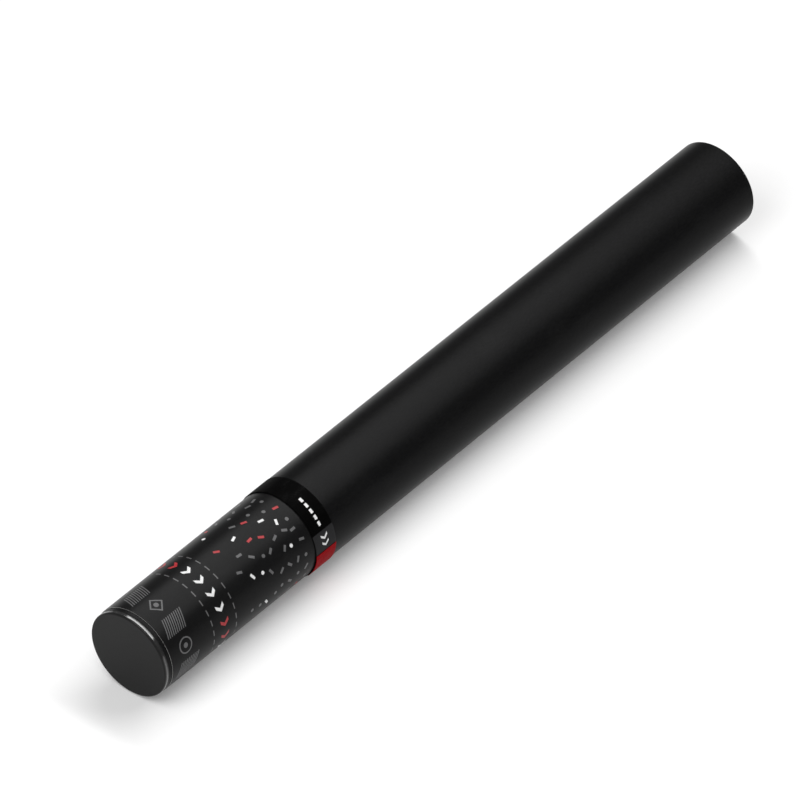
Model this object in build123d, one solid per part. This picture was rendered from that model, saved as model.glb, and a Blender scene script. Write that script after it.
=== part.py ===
"""Twist-fired hand-held confetti popper, lying on its side.

The tube's axis is X: the flat base face is at x = 0 and the muzzle points along +X. Z is up.
A twist of the handle turns the cam sleeve, whose helical slots drive a cross pin along straight slots
in the fixed guide tube. The pin lifts the gas cartridge on to the piercing needle, and the gas then
blows the wad, the confetti and the muzzle lid out of the barrel. A tear-off seal with a pull tab
covers the twist joint until then.

All sizes are in millimetres and degrees. Angles round the tube are measured from +Z towards -Y.
"""

import math
import os

from build123d import *

# Fits
glue_gap = 0.05
running_gap = 0.15
face_gap = 0.3
stack_gap = 0.3

# Tubes and printed label
tube_diameter = 53.0
tube_wall = 2.0
muzzle_chamfer = 0.3
label_thickness = 0.25
label_margin = 2.5
label_setback = 0.3

# Base cap
cap_flange = 3.0
cap_edge_radius = 1.1
cap_spigot_length = 12.0
cap_wall = 2.0
cap_rib_count = 6
cap_rib_height = 5.0
cap_rib_thickness = 1.6
cap_hub_diameter = 12.0

# Guide tube and the ring that keeps the handle on it
end_space = 1.85
guide_bore = 24.0
guide_wall = 2.5
ring_shoulder = 1.5
ring_thickness = 1.2
ring_width = 2.4
ring_groove_depth = 0.9
ring_gap_angle = 40.0
ring_lug_diameter = 4.4
ring_lug_hole = 1.8
washer_thickness = 0.5
washer_width = 3.0

# Cam sleeve and cross pin
pin_diameter = 5.0
twist_angle = 90.0
pierce_travel = 6.0
cam_wall = 2.5
cam_margin = 3.0
cam_flange = 2.5
cam_rib_thickness = 2.0
cam_rib_angles = (30.0, 60.0)

# Upper bush of the handle
bush_length = 14.0
bush_setback = 1.0
bush_ring_wall = 1.8
bush_web = 3.0
bush_rib_count = 6
bush_rib_thickness = 1.6

# Gas cartridge and its carrier
cartridge_diameter = 18.6
cartridge_length = 83.0
cartridge_wall = 1.4
cartridge_base_radius = 5.0
cartridge_neck_diameter = 8.6
cartridge_neck_bore = 4.8
cartridge_neck_length = 9.0
cartridge_shoulder_length = 13.0
cartridge_cap_thickness = 0.5
carrier_floor = 4.0
carrier_heel = 3.5
carrier_cup_depth = 18.0
carrier_core_diameter = 12.0
carrier_core_depth = 2.0

# Piercing needle, neck seal and carrier spring
needle_diameter = 3.6
needle_bore = 1.6
needle_length = 8.0
needle_point_length = 3.0
needle_point_flat = 0.3
needle_flange = 1.5
needle_flange_diameter = 11.0
needle_standoff = 2.0
neck_seal_diameter = 15.8
seal_lip = 0.6
spring_wire = 1.2
spring_turns = 8

# Breech block
seat_cover = 2.0
breech_flange = 2.0
flange_setback = 0.25
plug_length = 29.0
breech_web = 8.0
plug_wall = 3.0
diffuser_throat = 12.0
diffuser_length = 17.0
glue_groove_width = 2.5
glue_groove_depth = 0.6
glue_groove_count = 3

# Charge and muzzle lid
chamber_length = 40.0
charge_gap = 0.3
wad_length = 12.0
wad_wall = 2.5
wad_floor = 4.0
pusher_thickness = 2.0
confetti_length = 55.0
confetti_width = 17.0
confetti_rows = 5
lid_thickness = 1.0
lid_skirt = 5.0
muzzle_recess = 8.2

# Tear-off seal
seal_width = 16.0
seal_thickness = 0.1
seal_gap = 0.1
seal_overlap_start = 64.0
seal_overlap_end = 90.0
tab_thickness = 0.2
tab_length = 20.0
tab_corner_radius = 2.0
tab_root_gap = 0.3

# Radii of the tubes
tube_radius = tube_diameter / 2
bore_radius = tube_radius - tube_wall
label_radius = tube_radius - label_setback
handle_radius = label_radius - label_thickness - glue_gap
plug_radius = bore_radius - glue_gap

# Radii of the mechanism, from the cartridge outwards
cartridge_radius = cartridge_diameter / 2
guide_inner = guide_bore / 2
guide_outer = guide_inner + guide_wall
cam_inner = guide_outer + running_gap
cam_outer = cam_inner + cam_wall
pin_radius = pin_diameter / 2
slot_radius = pin_radius + running_gap
pin_half_length = cam_outer - running_gap
ring_inner = guide_outer - ring_groove_depth

# Places along the axis, from the base face to the breech
cap_end = cap_flange + cap_spigot_length
guide_start = cap_end + end_space
ring_start = guide_start + ring_shoulder
ring_end = ring_start + ring_thickness
washer_start = ring_end + face_gap
cam_start = washer_start + washer_thickness
pin_x = cam_start + cam_margin + slot_radius
cam_end = pin_x + pierce_travel + slot_radius + cam_margin
carrier_start = pin_x - pin_radius - carrier_heel
cartridge_start = pin_x + pin_radius + carrier_floor
carrier_end = cartridge_start + carrier_cup_depth
cartridge_end = cartridge_start + cartridge_length
needle_tip = cartridge_end + needle_standoff
needle_flange_start = needle_tip + needle_length
seat_floor = needle_flange_start + needle_flange
neck_seal_start = cartridge_end + pierce_travel + stack_gap
spigot_start = neck_seal_start - seal_lip
flange_start = seat_floor + seat_cover
flange_end = flange_start + breech_flange
twist_joint = (flange_start + flange_end) / 2
handle_end = flange_start - face_gap

# Middle line of the carrier spring
spring_radius = (cartridge_radius + guide_inner) / 2
spring_start = carrier_end + spring_wire / 2 + running_gap
spring_length = spigot_start - running_gap - spring_wire / 2 - spring_start
coil_steps = 24

# Places along the axis, from the breech to the muzzle
plug_end = flange_end + plug_length
web_end = seat_floor + breech_web
wad_start = plug_end + chamber_length
pusher_start = wad_start + wad_length
confetti_start = pusher_start + pusher_thickness + stack_gap
row_pitch = confetti_length + stack_gap
lid_start = confetti_start + confetti_rows * row_pitch
muzzle = lid_start + lid_thickness + muzzle_recess

# Film of the seal, and the pull tab on top of it
seal_start = twist_joint - seal_width / 2
seal_end = twist_joint + seal_width / 2
seal_inner = tube_radius + seal_gap
seal_outer = seal_inner + seal_thickness
overlap_outer = seal_outer + seal_thickness
tab_inner = overlap_outer + seal_gap / 2
tab_outer = tab_inner + tab_thickness


def polar(angle, radius, x=0.0):
    """Point at an angle round the tube, measured from +Z towards -Y."""
    turn = math.radians(angle)
    return Vector(x, -radius * math.sin(turn), radius * math.cos(turn))


def turned(outline, start=0.0, arc=360.0):
    """Solid of revolution about the tube's axis. The outline lies in the plane of X and radius."""
    profile = make_face(outline)
    # A revolved outline starts at +Y, which lies 90 degrees before +Z in the tube's angles.
    return Rot(90 + start, 0, 0) * revolve(profile, Axis.X, arc)


def turned_points(*points):
    """Solid of revolution through straight-sided (x, radius) points."""
    return turned(Polyline(*points, close=True))


def ring(x_start, x_end, outer, inner=0.0):
    """Plain ring or disc about the tube's axis."""
    section = Circle(outer)
    if inner > 0:
        section -= Circle(inner)
    return extrude(Plane.YZ.offset(x_start) * section, x_end - x_start)


def sector(x_start, x_end, outer, inner, angle_start, angle_end):
    """Part of a ring between two angles round the tube."""
    corners = ((x_start, inner), (x_end, inner), (x_end, outer), (x_start, outer))
    return turned(Polyline(*corners, close=True), angle_start, angle_end - angle_start)


def radial_bar(x_start, x_end, inner, outer, thickness, angle):
    """Flat bar that stands out from the axis at an angle round the tube."""
    length = x_end - x_start
    bar = Box(length, thickness, outer - inner)
    lifted = Pos((x_start + x_end) / 2, 0, (inner + outer) / 2) * bar
    return Rot(angle, 0, 0) * lifted


def radial_pin(x, radius, reach):
    """Round bar across the axis at x, along Y, reaching the same distance to both sides."""
    return Pos(x, 0, 0) * Rot(90, 0, 0) * Cylinder(radius, 2 * reach)


def barrel_tube():
    tube = ring(flange_end, muzzle, tube_radius, bore_radius)
    return chamfer(tube.edges().filter_by(GeomType.CIRCLE).group_by(Axis.X)[-1], muzzle_chamfer)


def handle_tube():
    return ring(cap_flange, handle_end, handle_radius, bore_radius)


def handle_label():
    start = cap_flange + label_margin
    end = seal_start - face_gap
    return ring(start, end, label_radius, label_radius - label_thickness)


def base_cap():
    """Moulded end plug: a round-edged flange, a hollow spigot and stiffening ribs on a hub."""
    flange = ring(0, cap_flange, handle_radius)
    flange = fillet(flange.edges().group_by(Axis.X)[0], cap_edge_radius)
    spigot_bore = plug_radius - cap_wall
    spigot = ring(cap_flange, cap_end, plug_radius, spigot_bore)
    rib_end = cap_flange + cap_rib_height
    hub = ring(cap_flange, rib_end, cap_hub_diameter / 2)
    cap = flange + spigot + hub
    for index in range(cap_rib_count):
        angle = index * 360 / cap_rib_count
        cap += radial_bar(cap_flange, rib_end, 0, spigot_bore + cap_wall / 2, cap_rib_thickness, angle)
    return cap


def guide_tube():
    """Fixed tube that the handle turns on, with straight slots for the pin and a groove for the ring."""
    tube = ring(guide_start, flange_start, guide_outer, guide_inner)
    tube -= ring(ring_start, ring_end, guide_outer, ring_inner)
    reach = guide_outer + guide_wall
    slot = radial_pin(pin_x, slot_radius, reach)
    slot += radial_pin(pin_x + pierce_travel, slot_radius, reach)
    slot += Pos(pin_x + pierce_travel / 2, 0, 0) * Box(pierce_travel, 2 * reach, 2 * slot_radius)
    return tube - slot


def retaining_ring():
    """Open spring ring with two drilled lugs."""
    outer = ring_inner + ring_width
    start = ring_gap_angle / 2
    clip = sector(ring_start, ring_end, outer, ring_inner + glue_gap, start, 360 - start)
    lug_place = ring_inner + glue_gap + ring_lug_diameter / 2
    lug_offset = start + math.degrees(ring_lug_diameter / 2 / lug_place)
    for angle in (lug_offset, -lug_offset):
        lug = Plane(polar(angle, lug_place, ring_start), x_dir=(0, 1, 0), z_dir=(1, 0, 0))
        clip += extrude(lug * Circle(ring_lug_diameter / 2), ring_thickness)
        clip -= extrude(lug * Circle(ring_lug_hole / 2), ring_thickness)
    return clip


def thrust_washer():
    return ring(washer_start, cam_start, cam_inner + washer_width, cam_inner)


def helical_slot():
    """Cutter for one cam slot: it climbs the pin's travel while it turns back by the twist angle."""
    lead = pierce_travel * 360 / twist_angle
    middle = (cam_inner + cam_outer) / 2
    depth = 2 * cam_wall
    climb = Helix(lead, pierce_travel, middle, lefthand=True)
    profile_plane = Plane(climb @ 0, x_dir=(1, 0, 0), z_dir=climb % 0)
    walls = sweep(profile_plane * Rectangle(depth, 2 * slot_radius), climb, is_frenet=True)
    across = Rot(0, 90, 0) * Cylinder(slot_radius, depth)
    first_end = Pos(middle, 0, 0) * across
    last_end = Rot(0, 0, -twist_angle) * Pos(middle, 0, pierce_travel) * across
    return walls + first_end + last_end


def cam_sleeve():
    """Sleeve glued in the handle, with two helical slots, an end flange each side and ribs between."""
    sleeve = ring(cam_start, cam_end, cam_outer, cam_inner)
    sleeve += ring(cam_start, cam_start + cam_flange, plug_radius, cam_inner)
    sleeve += ring(cam_end - cam_flange, cam_end, plug_radius, cam_inner)
    rib_foot = cam_outer - cam_wall / 2
    rib_start = cam_start + cam_flange / 2
    rib_end = cam_end - cam_flange / 2
    for side in (0, 180):
        for angle in cam_rib_angles:
            rib_angle = side + angle - 90
            sleeve += radial_bar(rib_start, rib_end, rib_foot, plug_radius, cam_rib_thickness, rib_angle)
        # The cutter is made about Z, starting at +X. It is laid along X, starting at -Y or +Y.
        laid = Rot(side - 90, 0, 0) * Rot(0, 90, 0) * helical_slot()
        sleeve -= Pos(pin_x, 0, 0) * laid
    return sleeve


def upper_bush():
    """Light ring between the guide tube and the top of the handle: two rings, a web and ribs."""
    end = handle_end - bush_setback
    start = end - bush_length
    middle = (start + end) / 2
    inner_ring = ring(start, end, cam_inner + bush_ring_wall, cam_inner)
    outer_ring = ring(start, end, plug_radius, plug_radius - bush_ring_wall)
    web = ring(middle - bush_web / 2, middle + bush_web / 2, plug_radius, cam_inner)
    bush = inner_ring + outer_ring + web
    rib_foot = cam_inner + bush_ring_wall / 2
    rib_head = plug_radius - bush_ring_wall / 2
    for index in range(bush_rib_count):
        angle = index * 360 / bush_rib_count
        bush += radial_bar(start, end, rib_foot, rib_head, bush_rib_thickness, angle)
    return bush


def breech_block():
    """Plug in the barrel: flange between the tubes, spigot for the guide, needle seat and diffuser."""
    spigot = guide_inner - glue_gap
    seat = neck_seal_diameter / 2 + glue_gap
    diffuser_mouth = plug_radius - plug_wall
    block = turned_points(
        (spigot_start, seat),
        (spigot_start, spigot),
        (flange_start, spigot),
        (flange_start, handle_radius - flange_setback),
        (flange_end, handle_radius - flange_setback),
        (flange_end, plug_radius),
        (plug_end, plug_radius),
        (plug_end, diffuser_mouth),
        (web_end + diffuser_length, diffuser_mouth),
        (web_end, diffuser_throat / 2),
        (web_end, needle_diameter / 2 + glue_gap),
        (seat_floor, needle_diameter / 2 + glue_gap),
        (seat_floor, seat),
    )
    groove_pitch = plug_length / (glue_groove_count + 1)
    for index in range(glue_groove_count):
        start = flange_end + (index + 1) * groove_pitch - glue_groove_width / 2
        block -= ring(start, start + glue_groove_width, plug_radius, plug_radius - glue_groove_depth)
    return block


def piercing_needle():
    """Hollow needle with a flange that bears on the floor of its seat."""
    bore = needle_bore / 2
    shank = needle_diameter / 2
    flange = needle_flange_diameter / 2
    return turned_points(
        (needle_tip, bore),
        (needle_tip, bore + needle_point_flat),
        (needle_tip + needle_point_length, shank),
        (needle_flange_start, shank),
        (needle_flange_start, flange),
        (seat_floor, flange),
        (seat_floor, shank),
        (web_end, shank),
        (web_end, bore),
    )


def neck_seal():
    """Rubber washer that the cartridge's neck presses on when it is pierced."""
    hole = needle_diameter / 2 + running_gap
    return ring(neck_seal_start, needle_flange_start, neck_seal_diameter / 2, hole)


def gas_cartridge():
    """Hollow steel cartridge with a rounded base, a drawn shoulder and a bored neck."""
    wall = cartridge_wall
    body = cartridge_radius
    corner = cartridge_base_radius
    neck = cartridge_neck_diameter / 2
    bore = cartridge_neck_bore / 2
    neck_start = cartridge_end - cartridge_neck_length
    shoulder = neck_start - cartridge_shoulder_length
    bend = (shoulder + neck_start) / 2
    bend_outer = (body + neck) / 2
    bend_inner = (body - wall + bore) / 2
    x = cartridge_start
    outline = [
        Line((x, 0), (x, body - corner)),
        TangentArc((x, body - corner), (x + corner, body), tangent=(0, 1)),
        Line((x + corner, body), (shoulder, body)),
        TangentArc((shoulder, body), (bend, bend_outer), tangent=(1, 0)),
        TangentArc((neck_start, neck), (bend, bend_outer), tangent=(-1, 0)),
        Line((neck_start, neck), (cartridge_end, neck)),
        Line((cartridge_end, neck), (cartridge_end, bore)),
        Line((cartridge_end, bore), (neck_start, bore)),
        TangentArc((neck_start, bore), (bend, bend_inner), tangent=(-1, 0)),
        TangentArc((shoulder, body - wall), (bend, bend_inner), tangent=(1, 0)),
        Line((shoulder, body - wall), (x + corner, body - wall)),
        TangentArc((x + corner, body - wall), (x + wall, body - corner), tangent=(-1, 0)),
        Line((x + wall, body - corner), (x + wall, 0)),
        Line((x + wall, 0), (x, 0)),
    ]
    return turned(outline)


def cartridge_cap():
    """Thin disc crimped in the cartridge's mouth, which the needle pierces."""
    radius = cartridge_neck_bore / 2 - glue_gap
    return ring(cartridge_end - cartridge_cap_thickness, cartridge_end, radius)


def cartridge_carrier():
    """Sliding cup under the cartridge, with a cross hole for the pin and a cored heel."""
    outer = guide_inner - running_gap
    carrier = ring(carrier_start, carrier_end, outer)
    carrier -= ring(cartridge_start, carrier_end, cartridge_radius + running_gap)
    carrier -= ring(carrier_start, carrier_start + carrier_core_depth, carrier_core_diameter / 2)
    return carrier - radial_pin(pin_x, pin_radius + glue_gap, guide_inner)


def cross_pin():
    return radial_pin(pin_x, pin_radius, pin_half_length)


def coil_point(turns):
    """Point of the carrier spring's middle line, and its direction there, after a number of turns."""
    pitch = spring_length / spring_turns
    angle = 2 * math.pi * turns
    point = polar(math.degrees(angle), spring_radius, spring_start + pitch * turns)
    circumference = 2 * math.pi * spring_radius
    ahead = Vector(pitch, -circumference * math.cos(angle), -circumference * math.sin(angle))
    return point, ahead.normalized()


def biarc(start, start_direction, end, end_direction):
    """Two arcs that join two points smoothly, with the given direction at each of them."""
    span = end - start
    # Both arcs have arms of one length, the positive root of a quadratic equation.
    square = 2 * (1 - start_direction.dot(end_direction))
    linear = 2 * span.dot(start_direction + end_direction)
    arm = (math.sqrt(linear**2 + 4 * square * span.dot(span)) - linear) / (2 * square)
    first_corner = start + start_direction * arm
    second_corner = end - end_direction * arm
    middle = (first_corner + second_corner) * 0.5
    middle_direction = (second_corner - first_corner).normalized()
    return [
        Edge.make_tangent_arc(start, start_direction, middle),
        Edge.make_tangent_arc(middle, middle_direction, end),
    ]


def carrier_spring():
    """Coil between the carrier's rim and the breech, which holds the cartridge off the needle."""
    arcs = []
    for quarter in range(4 * spring_turns):
        arcs += biarc(*coil_point(quarter / 4), *coil_point((quarter + 1) / 4))
    start, direction = coil_point(0)
    return sweep(Plane(start, z_dir=direction) * Circle(spring_wire / 2), Wire(arcs))


def spring_gap():
    """Least gap between neighbouring turns of the carrier spring."""
    points = [coil_point(step / coil_steps)[0] for step in range(coil_steps * spring_turns + 1)]
    far_apart = coil_steps // 2
    distances = [
        (points[later] - points[first]).length
        for first in range(len(points))
        for later in range(first + far_apart, len(points))
    ]
    return min(distances) - spring_wire


def pressure_wad():
    """Moulded cup that seals the bore, open towards the gas."""
    outer = bore_radius - charge_gap
    wad = ring(wad_start, pusher_start, outer)
    return wad - ring(wad_start, pusher_start - wad_floor, outer - wad_wall)


def pusher_disc():
    return ring(pusher_start, pusher_start + pusher_thickness, bore_radius - charge_gap)


def confetti_row(index):
    """Four stacks of paper rectangles that fill the bore: two side by side, one above and one below."""
    reach = bore_radius - charge_gap
    half_gap = stack_gap / 2
    side_half_height = math.sqrt(reach**2 - (confetti_width + half_gap) ** 2)
    crown = math.sqrt(reach**2 - (confetti_width / 2) ** 2)
    crown_height = crown - side_half_height - stack_gap
    centre = confetti_start + index * row_pitch + confetti_length / 2
    side_y = half_gap + confetti_width / 2
    crown_z = crown - crown_height / 2
    side = Box(confetti_length, confetti_width, 2 * side_half_height)
    top = Box(confetti_length, confetti_width, crown_height)
    return Compound(children=[
        Pos(centre, side_y, 0) * side,
        Pos(centre, -side_y, 0) * side,
        Pos(centre, 0, crown_z) * top,
        Pos(centre, 0, -crown_z) * top,
    ])


def muzzle_lid():
    """Pressed card lid, pushed into the muzzle with its skirt outwards."""
    outer = bore_radius - charge_gap
    floor = lid_start + lid_thickness
    lid = ring(lid_start, floor + lid_skirt, outer)
    return lid - ring(floor, floor + lid_skirt, outer - lid_thickness)


def safety_seal():
    """Band of film round the twist joint, with its end lapped over its start."""
    band = ring(seal_start, seal_end, seal_outer, seal_inner)
    lap = sector(seal_start, seal_end, overlap_outer, seal_inner, seal_overlap_start, seal_overlap_end)
    return band + lap


def pull_tab():
    """Loose end of the seal's film, which is lifted to tear the seal off."""
    root = seal_overlap_end + math.degrees(tab_root_gap / tab_outer)
    tip = root + math.degrees(tab_length / tab_outer)
    tab = sector(seal_start, seal_end, tab_outer, tab_inner, root, tip)
    tip_edges = tab.edges().filter_by(lambda edge: edge.length < 2 * tab_thickness)
    tip_point = polar(tip, tab_outer, twist_joint)
    return fillet(tip_edges.sort_by_distance(tip_point)[:2], tab_corner_radius)


nodes = {
    "barrel_tube": barrel_tube(),
    "breech_block": breech_block(),
    "guide_tube": guide_tube(),
    "retaining_ring": retaining_ring(),
    "piercing_needle": piercing_needle(),
    "neck_seal": neck_seal(),
    "handle_tube": handle_tube(),
    "handle_label": handle_label(),
    "base_cap": base_cap(),
    "cam_sleeve": cam_sleeve(),
    "upper_bush": upper_bush(),
    "thrust_washer": thrust_washer(),
    "cartridge_carrier": cartridge_carrier(),
    "cross_pin": cross_pin(),
    "gas_cartridge": gas_cartridge(),
    "cartridge_cap": cartridge_cap(),
    "carrier_spring": carrier_spring(),
    "pressure_wad": pressure_wad(),
    "pusher_disc": pusher_disc(),
    "muzzle_lid": muzzle_lid(),
    "safety_seal": safety_seal(),
    "pull_tab": pull_tab(),
}
for row in range(confetti_rows):
    nodes[f"confetti_row_{row + 1}"] = confetti_row(row)

os.makedirs("parts", exist_ok=True)
for name, shape in nodes.items():
    export_step(shape, f"parts/{name}.step")

print(f"overall length {muzzle:.2f}, twist joint at {twist_joint:.2f}, chamber up to {wad_start:.2f}")
print(f"pin at {pin_x:.2f}, cartridge {cartridge_start:.2f} to {cartridge_end:.2f}")
print(f"lid from {lid_start:.2f}, tab hinge radius {(tab_inner + tab_outer) / 2:.3f}")
print(f"gap between turns of the spring {spring_gap():.2f}, from x {spring_start:.2f}")
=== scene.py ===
"""Looks of a twist-fired confetti popper, laid out as a Blender add-on.

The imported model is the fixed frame: the tube's axis is X, the base face is at x = 0 and Z is up.
Angles round the tube are measured from +Z towards -Y. All lengths are in metres.
"""

import math
import random

import bmesh
import bpy
from bpy.props import FloatProperty, FloatVectorProperty, IntProperty, PointerProperty
from mathutils import Matrix, Vector


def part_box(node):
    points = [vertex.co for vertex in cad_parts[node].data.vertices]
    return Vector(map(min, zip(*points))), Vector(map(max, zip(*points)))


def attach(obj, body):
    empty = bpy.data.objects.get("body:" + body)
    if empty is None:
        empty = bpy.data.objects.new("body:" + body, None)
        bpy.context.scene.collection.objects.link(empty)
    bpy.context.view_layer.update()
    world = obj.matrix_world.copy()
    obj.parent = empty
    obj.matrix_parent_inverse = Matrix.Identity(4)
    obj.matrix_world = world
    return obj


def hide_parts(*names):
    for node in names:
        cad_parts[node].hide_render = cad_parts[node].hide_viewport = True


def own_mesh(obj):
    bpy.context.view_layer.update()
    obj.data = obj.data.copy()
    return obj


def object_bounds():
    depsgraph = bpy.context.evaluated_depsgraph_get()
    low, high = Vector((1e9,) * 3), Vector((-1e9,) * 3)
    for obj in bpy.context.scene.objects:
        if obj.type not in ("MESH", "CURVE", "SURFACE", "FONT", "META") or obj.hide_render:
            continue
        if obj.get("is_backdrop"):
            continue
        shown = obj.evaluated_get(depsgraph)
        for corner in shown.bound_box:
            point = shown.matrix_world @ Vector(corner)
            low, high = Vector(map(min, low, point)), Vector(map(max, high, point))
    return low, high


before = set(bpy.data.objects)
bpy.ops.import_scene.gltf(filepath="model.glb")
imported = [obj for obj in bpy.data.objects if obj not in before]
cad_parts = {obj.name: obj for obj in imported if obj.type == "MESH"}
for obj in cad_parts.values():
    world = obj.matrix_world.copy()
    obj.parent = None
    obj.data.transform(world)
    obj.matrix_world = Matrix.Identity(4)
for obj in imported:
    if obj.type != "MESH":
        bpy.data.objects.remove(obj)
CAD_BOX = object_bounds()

bl_info = {
    "name": "Confetti Popper",
    "version": (1, 0, 0),
    "blender": (4, 5, 0),
    "location": "3D View > Sidebar > Popper",
    "description": "Dresses a packed confetti popper and sets its studio stage",
    "category": "Object",
}

MM = 0.001
TURN = 2 * math.pi
WELD = 0.001 * MM
ON_CUT = 0.0001 * MM
CUT_EDGE = math.radians(40.0)
SHADING_EDGE = math.radians(35.0)


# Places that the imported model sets

def reach(node):
    """First place along the axis, last place and outer radius of a round node."""
    low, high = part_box(node)
    return low.x, high.x, high.z


BARREL_START, MUZZLE, TUBE_RADIUS = reach("barrel_tube")
HANDLE_START, HANDLE_END, HANDLE_RADIUS = reach("handle_tube")
LABEL_START, LABEL_END, LABEL_RADIUS = reach("handle_label")
SEAL_START, SEAL_END, SEAL_RADIUS = reach("safety_seal")
LAP_RADIUS = -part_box("safety_seal")[0].y
TAB_RADIUS = -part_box("pull_tab")[0].y

# Thicknesses, angles and the tab's sizes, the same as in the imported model
TUBE_WALL = 2.0 * MM
BORE_RADIUS = TUBE_RADIUS - TUBE_WALL
LABEL_THICKNESS = 0.25 * MM
FILM_THICKNESS = 0.1 * MM
LAP_ANGLES = (math.radians(64.0), math.radians(90.0))
TAB_ROOT = LAP_ANGLES[1] + 0.3 * MM / TAB_RADIUS
TAB_LENGTH = 20.0 * MM
TAB_THICKNESS = 0.2 * MM
TAB_CORNER = 2.0 * MM

# Middle of the side that the camera sees
FACING = math.radians(40.0)


# Sizes and colours that a user may change

def length_field(name, description, default):
    return FloatProperty(name=name, description=description, default=default, min=0.0, unit="LENGTH")


def colour_field(name, description, default):
    return FloatVectorProperty(
        name=name, description=description, default=default, size=3, min=0.0, max=1.0, subtype="COLOR"
    )


def angle_field(name, description, degrees):
    return FloatProperty(
        name=name, description=description, default=math.radians(degrees), unit="ROTATION", subtype="ANGLE"
    )


def power_field(name, description, watts):
    return FloatProperty(name=name, description=description, default=watts, min=0.0, unit="POWER")


def place_field(name, description, default):
    return FloatVectorProperty(
        name=name, description=description, default=default, size=3, unit="LENGTH", subtype="TRANSLATION"
    )


class PopperSizes(bpy.types.PropertyGroup):
    """Sizes of the finish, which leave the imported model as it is."""

    round_steps: IntProperty(
        name="Steps Round", description="Faces round each turned piece", default=180, min=36, max=360
    )
    edge_radius: length_field("Edge Radius", "Softening of the cut edges of the card tubes", 0.15 * MM)
    muzzle_edge: length_field("Muzzle Edge", "Softening of the muzzle's rim", 0.3 * MM)
    ink_relief: length_field("Ink Relief", "Height of the print above its sheet", 0.015 * MM)
    bend_step: length_field("Bend Step", "Width of the flat strips in a print that is bent round", 1.0 * MM)
    lap_width: length_field("Lap Width", "Overlap of the label's two ends", 9.0 * MM)
    slip_width: length_field("Slip Width", "Width of one paper slip", 17.0 * MM)
    slip_bundle: length_field("Slip Bundle", "Thickness of the slips of one colour in a stack", 1.0 * MM)
    slip_disorder: length_field("Slip Disorder", "How far a slip may lie out of line", 0.1 * MM)


class PopperColours(bpy.types.PropertyGroup):
    """Colours of the finish."""

    barrel: colour_field("Barrel", "Matt black paper of the barrel", (0.0036, 0.0036, 0.0038))
    label: colour_field("Label", "Black ground of the label", (0.0048, 0.0048, 0.0050))
    # Pale paper core of the label's cut edges; its paleness is also a painted highlight along the thin edge
    label_core_and_edge_highlight: colour_field("Label Core", "Pale paper in the label's cut edges", (0.42, 0.42, 0.41))
    cap: colour_field("Cap", "Black plastic of the base cap", (0.008, 0.008, 0.008))
    film: colour_field("Seal Film", "Black film of the seal", (0.0015, 0.0015, 0.0015))
    lap: colour_field("Seal Lap", "Dark grey end of the seal's film", (0.020, 0.020, 0.021))
    tab: colour_field("Pull Tab", "Red film of the pull tab", (0.28, 0.003, 0.006))
    ink_white: colour_field("White Ink", "White print", (0.80, 0.80, 0.80))
    ink_grey: colour_field("Grey Ink", "Grey print", (0.11, 0.11, 0.112))
    ink_red: colour_field("Red Ink", "Red print", (0.42, 0.018, 0.024))
    board: colour_field("Board", "Grey board inside the card tubes", (0.30, 0.25, 0.20))
    plastic: colour_field("White Plastic", "Moulded parts of the mechanism", (0.72, 0.71, 0.67))
    guide: colour_field("Grey Plastic", "Moulded guide tube", (0.42, 0.43, 0.44))
    steel: colour_field("Steel", "Plated steel parts", (0.56, 0.57, 0.58))
    rubber: colour_field("Rubber", "Seal round the needle", (0.018, 0.018, 0.018))


class PopperStage(bpy.types.PropertyGroup):
    """Camera, light and floor."""

    azimuth: angle_field("Azimuth", "Camera's turn round the popper", -50.47)
    elevation: angle_field("Elevation", "Camera's height above the horizon", 41.27)
    distance: length_field("Distance", "From the camera to the popper", 5.0)
    view_width: length_field("View Width", "Width of the picture at the popper", 0.4321)
    aim_right: FloatProperty(name="Aim Right", description="Popper's middle, right of the picture's",
                             default=16.55 * MM, unit="LENGTH")
    aim_down: FloatProperty(name="Aim Down", description="Popper's middle, below the picture's",
                            default=6.74 * MM, unit="LENGTH")
    key_power: power_field("Key Power", "Power of the key softbox", 128.0)
    key_width: length_field("Key Width", "Key softbox's size across the popper", 6.0)
    key_length: length_field("Key Length", "Key softbox's size along the popper", 0.8)
    key_place: place_field("Key Place", "Key softbox's place from the popper's middle", (1.85, -0.05, 3.0))
    fill_power: power_field("Fill Power", "Power of the fill softbox", 11.0)
    fill_size: length_field("Fill Size", "Fill softbox's side", 1.0)
    fill_place: place_field("Fill Place", "Fill softbox's place from the popper's middle", (-0.9, -0.05, 1.1))
    world_level: FloatProperty(name="World Level", description="Brightness of the room", default=0.15)
    floor: colour_field("Floor", "Colour of the floor", (0.85, 0.85, 0.85))
    floor_radius: length_field("Floor Radius", "Reach of the floor", 30.0)
    floor_glow: FloatProperty(name="Floor Glow", description="Added to the floor as it is seen", default=0.15)


# Meshes

def turned(outline, steps):
    """Closed shell turned round the X axis from the (place, radius) corners of its outline."""
    bm = bmesh.new()
    corners = [bm.verts.new((x, 0.0, radius)) for x, radius in outline]
    sides = [bm.edges.new((corners[index - 1], corner)) for index, corner in enumerate(corners)]
    bmesh.ops.spin(
        bm, geom=corners + sides, cent=(0, 0, 0), axis=(1, 0, 0), angle=TURN, steps=steps, use_merge=True
    )
    bmesh.ops.remove_doubles(bm, verts=bm.verts, dist=WELD)
    bmesh.ops.recalc_face_normals(bm, faces=bm.faces)
    return bm


def tube(start, end, outer, inner, steps):
    """Tube round the X axis."""
    return turned([(start, inner), (end, inner), (end, outer), (start, outer)], steps)


def soften(bm, width, segments=3, chosen=lambda edge: True):
    """Rounds the sharp edges that are chosen."""
    sharp = [
        edge for edge in bm.edges
        if edge.is_manifold and edge.calc_face_angle() > CUT_EDGE and chosen(edge)
    ]
    bmesh.ops.bevel(
        bm, geom=sharp, offset=width, offset_type="OFFSET", affect="EDGES",
        segments=segments, profile=0.5, material=-1,
    )


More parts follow.
